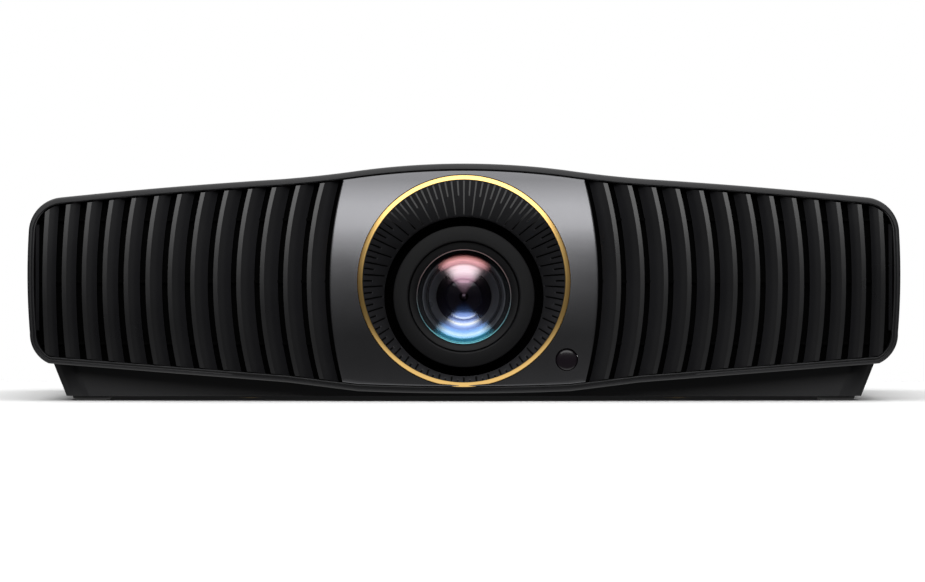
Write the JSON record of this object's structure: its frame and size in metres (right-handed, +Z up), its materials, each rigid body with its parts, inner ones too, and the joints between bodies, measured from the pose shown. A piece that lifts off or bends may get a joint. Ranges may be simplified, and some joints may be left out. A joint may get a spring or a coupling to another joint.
{
  "type": "home projector",
  "caption": "Wide home-cinema projector with louvred front, gold-ringed central lens, lens shift under a roof hatch, screw feet and rear sockets.",
  "frame": {"origin": "on the standing surface, under the middle of the case", "axes": "+Z up; the lens looks along -Y; +X to the right seen from the front"},
  "size_m": [0.4936, 0.3453, 0.1342],
  "materials": {
    "case_black": "fine satin-textured black",
    "louvre_black": "satin black",
    "tray_black": "matte black",
    "panel_metallic": "satin metallic dark silver",
    "ring_gold": "satin gold",
    "funnel_black": "matte charcoal",
    "window_black": "glossy dark",
    "mesh_black": "black woven mesh",
    "lens_black": "black anodised",
    "lens_glass": "coated optical glass",
    "steel": "plain steel",
    "bush_brass": "plain brass",
    "rubber_black": "matte rubber",
    "engine_alloy": "cast",
    "sink_alloy": "extruded",
    "board_green": "circuit board",
    "chip_black": "chip package",
    "fan_black": "fan plastic",
    "key_black": "satin key",
    "port_metal": "nickel-plated",
    "lamp_cage": "sheet steel",
    "lamp_glass": "reflector glass",
    "inlet_black": "socket plastic"
  },
  "bodies": {
    "chassis": {"front_frame": "case_black", "front_panel": "panel_metallic", "ir_windows": "window_black", "gold_ring": "ring_gold", "lens_funnel": "funnel_black", "right_louvre": "louvre_black", "left_louvre": "louvre_black", "dust_meshes": "mesh_black", "top_cover": "case_black", "side_grilles": "case_black", "rear_panel": "case_black", "bottom_case": "tray_black", "threaded_bushes": "bush_brass", "case_screws": "steel", "lamp_door": "tray_black", "lens_mount_plate": "steel", "shift_well": "case_black", "door_hinge_pin": "steel", "engine_housing": "engine_alloy", "dmd_chip": "chip_black", "dmd_heatsink": "sink_alloy", "relay_optics": "lamp_glass", "wheel_motor": "steel", "lamp_housing": "lamp_cage", "lamp_bulb": "lamp_glass", "main_board": "board_green", "lamp_ballast": "board_green", "power_supply": "board_green", "signal_ports": "port_metal", "mains_inlet": "inlet_black", "keypad_bezel": "case_black", "fan_frames": "fan_black"},
    "vertical_carriage": {"vertical_carriage": "engine_alloy"},
    "lens": {"horizontal_carriage": "engine_alloy", "lens_barrel": "lens_black", "rear_glass": "lens_glass"},
    "focus_ring": {"focus_ring": "lens_black"},
    "focus_cell": {"focus_cell": "lens_black", "front_glass": "lens_glass"},
    "zoom_ring": {"zoom_ring": "lens_black"},
    "zoom_cell": {"zoom_cell": "lens_black", "zoom_glass": "lens_glass"},
    "vertical_dial": {"vertical_dial": "key_black"},
    "horizontal_dial": {"horizontal_dial": "key_black"},
    "shift_door": {"shift_door": "case_black"},
    "exhaust_fan": {"exhaust_fan_rotor": "fan_black"},
    "intake_fan": {"intake_fan_rotor": "fan_black"},
    "colour_wheel": {"colour_wheel": "lamp_glass"},
    "power_button": {"power_button": "key_black"},
    "back_button": {"back_button": "key_black"},
    "navigation_ring": {"navigation_ring": "key_black"},
    "ok_button": {"ok_button": "key_black"},
    "pad_front_left": {"foot_pad_front_left": "rubber_black"},
    "wheel_front_left": {"foot_wheel_front_left": "key_black"},
    "pad_front_right": {"foot_pad_front_right": "rubber_black"},
    "wheel_front_right": {"foot_wheel_front_right": "key_black"},
    "pad_rear_left": {"foot_pad_rear_left": "rubber_black"},
    "wheel_rear_left": {"foot_wheel_rear_left": "key_black"},
    "pad_rear_right": {"foot_pad_rear_right": "rubber_black"},
    "wheel_rear_right": {"foot_wheel_rear_right": "key_black"}
  },
  "joints": [
    {"name": "vertical_dial_turn", "type": "hinge", "parent": "chassis", "child": "vertical_dial", "pos_m": [-0.026, -0.072, 0.11], "axis": [0, 0, 1], "range_deg": [-270, 270]},
    {"name": "horizontal_dial_turn", "type": "hinge", "parent": "chassis", "child": "horizontal_dial", "pos_m": [0.026, -0.072, 0.11], "axis": [0, 0, 1], "range_deg": [-270, 270]},
    {"name": "vertical_shift", "type": "slide", "parent": "chassis", "child": "vertical_carriage", "axis": [0, 0, 1], "range_m": [-0.004, 0.004]},
    {"name": "horizontal_shift", "type": "slide", "parent": "vertical_carriage", "child": "lens", "axis": [1, 0, 0], "range_m": [-0.0024, 0.0024]},
    {"name": "focus_turn", "type": "hinge", "parent": "lens", "child": "focus_ring", "pos_m": [0, -0.132, 0.0591], "axis": [0, 1, 0], "range_deg": [-45, 45]},
    {"name": "focus_slide", "type": "slide", "parent": "lens", "child": "focus_cell", "axis": [0, 1, 0], "range_m": [-0.002, 0.002]},
    {"name": "zoom_turn", "type": "hinge", "parent": "lens", "child": "zoom_ring", "pos_m": [0, -0.108, 0.0591], "axis": [0, 1, 0], "range_deg": [-30, 30]},
    {"name": "zoom_slide", "type": "slide", "parent": "lens", "child": "zoom_cell", "axis": [0, 1, 0], "range_m": [-0.005, 0.005]},
    {"name": "shift_door_hinge", "type": "hinge", "parent": "chassis", "child": "shift_door", "pos_m": [0, -0.059, 0.1317], "axis": [-1, 0, 0], "range_deg": [0, 95]},
    {"name": "exhaust_fan_spin", "type": "hinge", "parent": "chassis", "child": "exhaust_fan", "pos_m": [0.15, -0.106, 0.064], "axis": [0, 1, 0], "continuous": true},
    {"name": "intake_fan_spin", "type": "hinge", "parent": "chassis", "child": "intake_fan", "pos_m": [-0.15, -0.106, 0.064], "axis": [0, 1, 0], "continuous": true},
    {"name": "colour_wheel_spin", "type": "hinge", "parent": "chassis", "child": "colour_wheel", "pos_m": [0.118, 0, 0.043], "axis": [1, 0, 0], "continuous": true},
    {"name": "power_button_press", "type": "slide", "parent": "chassis", "child": "power_button", "axis": [-1, 0, 0], "range_m": [0, 0.001], "stiffness_N_per_m": 800, "springref_m": -0.0005},
    {"name": "back_button_press", "type": "slide", "parent": "chassis", "child": "back_button", "axis": [-1, 0, 0], "range_m": [0, 0.001], "stiffness_N_per_m": 800, "springref_m": -0.0005},
    {"name": "navigation_ring_press", "type": "slide", "parent": "chassis", "child": "navigation_ring", "axis": [-1, 0, 0], "range_m": [0, 0.001], "stiffness_N_per_m": 800, "springref_m": -0.0005},
    {"name": "ok_button_press", "type": "slide", "parent": "chassis", "child": "ok_button", "axis": [-1, 0, 0], "range_m": [0, 0.001], "stiffness_N_per_m": 800, "springref_m": -0.0005},
    {"name": "foot_front_left_height", "type": "slide", "parent": "chassis", "child": "pad_front_left", "axis": [0, 0, -1], "range_m": [0, 0.01]},
    {"name": "foot_front_left_turn", "type": "hinge", "parent": "pad_front_left", "child": "wheel_front_left", "pos_m": [-0.213, -0.118, 0.005], "axis": [0, 0, 1], "range_deg": [0, 1200]},
    {"name": "foot_front_right_height", "type": "slide", "parent": "chassis", "child": "pad_front_right", "axis": [0, 0, -1], "range_m": [0, 0.01]},
    {"name": "foot_front_right_turn", "type": "hinge", "parent": "pad_front_right", "child": "wheel_front_right", "pos_m": [0.213, -0.118, 0.005], "axis": [0, 0, 1], "range_deg": [0, 1200]},
    {"name": "foot_rear_left_height", "type": "slide", "parent": "chassis", "child": "pad_rear_left", "axis": [0, 0, -1], "range_m": [0, 0.01]},
    {"name": "foot_rear_left_turn", "type": "hinge", "parent": "pad_rear_left", "child": "wheel_rear_left", "pos_m": [-0.213, 0.14, 0.005], "axis": [0, 0, 1], "range_deg": [0, 1200]},
    {"name": "foot_rear_right_height", "type": "slide", "parent": "chassis", "child": "pad_rear_right", "axis": [0, 0, -1], "range_m": [0, 0.01]},
    {"name": "foot_rear_right_turn", "type": "hinge", "parent": "pad_rear_right", "child": "wheel_rear_right", "pos_m": [0.213, 0.14, 0.005], "axis": [0, 0, 1], "range_deg": [0, 1200]}
  ],
  "couplings": [
    {"joint": "vertical_dial_turn", "follows": "vertical_shift", "rad_per_m": 1178.1},
    {"joint": "horizontal_dial_turn", "follows": "horizontal_shift", "rad_per_m": 1963.5},
    {"joint": "focus_slide", "follows": "focus_turn", "m_per_rad": 0.0025465},
    {"joint": "zoom_slide", "follows": "zoom_turn", "m_per_rad": 0.0095493},
    {"joint": "foot_front_left_turn", "follows": "foot_front_left_height", "rad_per_m": 2094.4},
    {"joint": "foot_front_right_turn", "follows": "foot_front_right_height", "rad_per_m": 2094.4},
    {"joint": "foot_rear_left_turn", "follows": "foot_rear_left_height", "rad_per_m": 2094.4},
    {"joint": "foot_rear_right_turn", "follows": "foot_rear_right_height", "rad_per_m": 2094.4}
  ]
}
